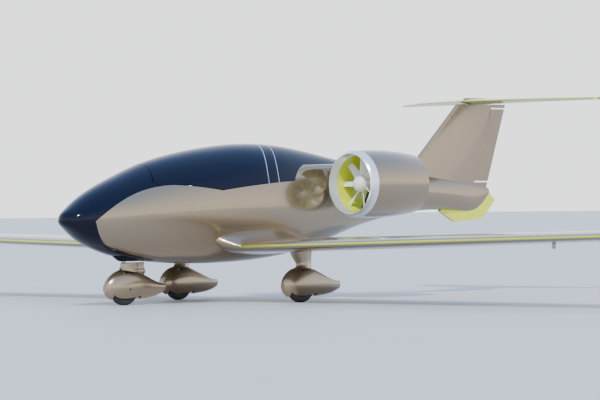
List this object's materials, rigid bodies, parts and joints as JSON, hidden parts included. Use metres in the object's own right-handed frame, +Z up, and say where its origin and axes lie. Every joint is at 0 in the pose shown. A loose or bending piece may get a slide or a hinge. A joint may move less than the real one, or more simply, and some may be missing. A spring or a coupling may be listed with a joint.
{
  "type": "two-seat electric airplane with two ducted fans",
  "caption": "Low-wing electric airplane with ducted fans beside the rear fuselage, a T tail, a forward-hinged canopy and fixed tricycle gear in spats; champagne, navy and lime.",
  "frame": {"origin": "middle of the length and the width, on the ground under the wheels", "axes": "+X to port, -Y towards the nose, +Z up"},
  "size_m": [11.6, 6.6003, 2.227],
  "materials": {
    "champagne_paint": "metallic champagne paint on composite, clear coated",
    "navy_gloss": "deep navy gloss paint and dark glazing",
    "lime_paint": "lime green gloss paint",
    "lip_metal": "polished pale aluminium lip",
    "fan_metal": "pale satin fan blades and spinner",
    "pod_metal": "grey anodised motor casing",
    "tyre_rubber": "black tyre rubber",
    "rim_metal": "cast aluminium rim",
    "axle_steel": "steel axle",
    "seat_fabric": "dark woven seat cover over a composite shell",
    "cabin_plastic": "dark textured cabin moulding",
    "battery_case": "painted battery case"
  },
  "bodies": {
    "airframe": {"fuselage_shell": "champagne_paint", "tail_boom": "champagne_paint", "nose_cowl": "navy_gloss", "rear_roof": "navy_gloss", "cabin_floor": "cabin_plastic", "instrument_panel": "cabin_plastic", "seats": "seat_fabric", "control_sticks": "cabin_plastic", "battery_pack": "battery_case", "wing_port": "champagne_paint", "wing_starboard": "champagne_paint", "nacelle_port": "champagne_paint", "nacelle_starboard": "champagne_paint", "duct_lips": "lip_metal", "duct_liners": "lime_paint", "motor_pods": "pod_metal", "pylons": "champagne_paint", "fin": "champagne_paint", "tailplane": "champagne_paint", "tail_bumper": "lime_paint", "main_legs": "champagne_paint", "main_axles": "axle_steel", "main_spat_port": "champagne_paint", "main_spat_starboard": "champagne_paint"},
    "canopy": {"canopy": "navy_gloss"},
    "fan_port": {"fan_port": "fan_metal"},
    "fan_starboard": {"fan_starboard": "fan_metal"},
    "flap_port": {"flap_port": "champagne_paint"},
    "flap_starboard": {"flap_starboard": "champagne_paint"},
    "aileron_port": {"aileron_port": "champagne_paint"},
    "aileron_starboard": {"aileron_starboard": "champagne_paint"},
    "rudder": {"rudder": "champagne_paint"},
    "elevator": {"elevator": "champagne_paint"},
    "nose_gear": {"nose_leg": "champagne_paint", "nose_spat": "champagne_paint", "nose_axle": "axle_steel"},
    "nose_wheel": {"nose_tyre": "tyre_rubber", "nose_rim": "rim_metal"},
    "main_wheel_port": {"main_tyre_port": "tyre_rubber", "main_rim_port": "rim_metal"},
    "main_wheel_starboard": {"main_tyre_starboard": "tyre_rubber", "main_rim_starboard": "rim_metal"}
  },
  "joints": [
    {"name": "canopy_hinge", "type": "hinge", "parent": "airframe", "child": "canopy", "pos_m": [0, -2.42, 1.19], "axis": [1, 0, 0], "range_deg": [0, 48]},
    {"name": "fan_spin_port", "type": "hinge", "parent": "airframe", "child": "fan_port", "pos_m": [0.8, 0.224, 1.245], "axis": [0, 1, 0], "continuous": true},
    {"name": "fan_spin_starboard", "type": "hinge", "parent": "airframe", "child": "fan_starboard", "pos_m": [-0.8, 0.224, 1.245], "axis": [0, 1, 0], "continuous": true},
    {"name": "flap_hinge_port", "type": "hinge", "parent": "airframe", "child": "flap_port", "pos_m": [1.9, -0.58081, 0.62213], "axis": [-0.9997, 0.0143, -0.0211], "range_deg": [0, 35]},
    {"name": "aileron_hinge_port", "type": "hinge", "parent": "airframe", "child": "aileron_port", "pos_m": [4.295, -0.61497, 0.67272], "axis": [-0.9997, 0.0143, -0.0211], "range_deg": [-20, 20]},
    {"name": "flap_hinge_starboard", "type": "hinge", "parent": "airframe", "child": "flap_starboard", "pos_m": [-1.9, -0.58081, 0.62213], "axis": [-0.9997, -0.0143, 0.0211], "range_deg": [0, 35]},
    {"name": "aileron_hinge_starboard", "type": "hinge", "parent": "airframe", "child": "aileron_starboard", "pos_m": [-4.295, -0.61497, 0.67272], "axis": [-0.9997, -0.0143, 0.0211], "range_deg": [-20, 20]},
    {"name": "rudder_hinge", "type": "hinge", "parent": "airframe", "child": "rudder", "pos_m": [0, 2.85822, 1.69], "axis": [0, 0.3257, 0.9455], "range_deg": [-25, 25]},
    {"name": "elevator_hinge", "type": "hinge", "parent": "airframe", "child": "elevator", "pos_m": [0, 3.11, 2.185], "axis": [-1, 0, 0], "range_deg": [-25, 20]},
    {"name": "nose_steering", "type": "hinge", "parent": "airframe", "child": "nose_gear", "pos_m": [0, -2.481, 0.455], "axis": [0, 0, 1], "range_deg": [-20, 20]},
    {"name": "nose_wheel_spin", "type": "hinge", "parent": "nose_gear", "child": "nose_wheel", "pos_m": [0, -2.481, 0.165], "axis": [1, 0, 0], "continuous": true},
    {"name": "main_wheel_spin_port", "type": "hinge", "parent": "airframe", "child": "main_wheel_port", "pos_m": [0.995, -0.896, 0.165], "axis": [1, 0, 0], "continuous": true},
    {"name": "main_wheel_spin_starboard", "type": "hinge", "parent": "airframe", "child": "main_wheel_starboard", "pos_m": [-0.995, -0.896, 0.165], "axis": [1, 0, 0], "continuous": true}
  ]
}
